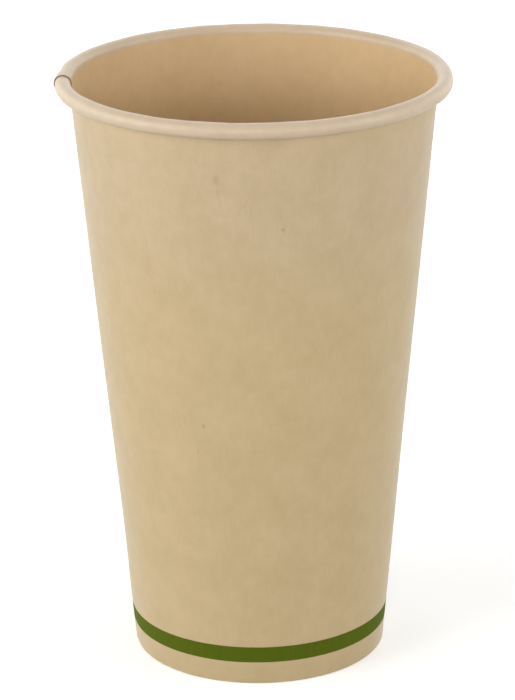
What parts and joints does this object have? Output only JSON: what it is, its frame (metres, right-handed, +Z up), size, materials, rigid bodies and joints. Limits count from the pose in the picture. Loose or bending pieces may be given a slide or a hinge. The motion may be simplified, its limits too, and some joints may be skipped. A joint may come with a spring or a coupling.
{
  "type": "paper hot cup",
  "caption": "Tapered single-wall paper cup for hot drinks, with a rolled rim, a lapped side seam, a recessed base held in a turned-in hem, and a plain printed band above the foot.",
  "frame": {"origin": "on the table, under the middle of the foot ring", "axes": "+Z up along the cup's axis towards the mouth; -Y is the side seen in the picture; the side seam is on the -X side"},
  "size_m": [0.0894, 0.0894, 0.1384],
  "materials": {
    "bamboo_paper": "matte",
    "base_paper": "matte",
    "barrier_coating": "satin",
    "seal": "satin",
    "green_ink": "matte"
  },
  "bodies": {
    "root": {"side_wall": "bamboo_paper", "base_disc": "base_paper", "side_seam_bond": "seal", "base_bond_outer": "seal", "base_bond_inner": "seal", "wall_lining": "barrier_coating", "base_lining": "barrier_coating", "printed_band": "green_ink"}
  },
  "joints": []
}
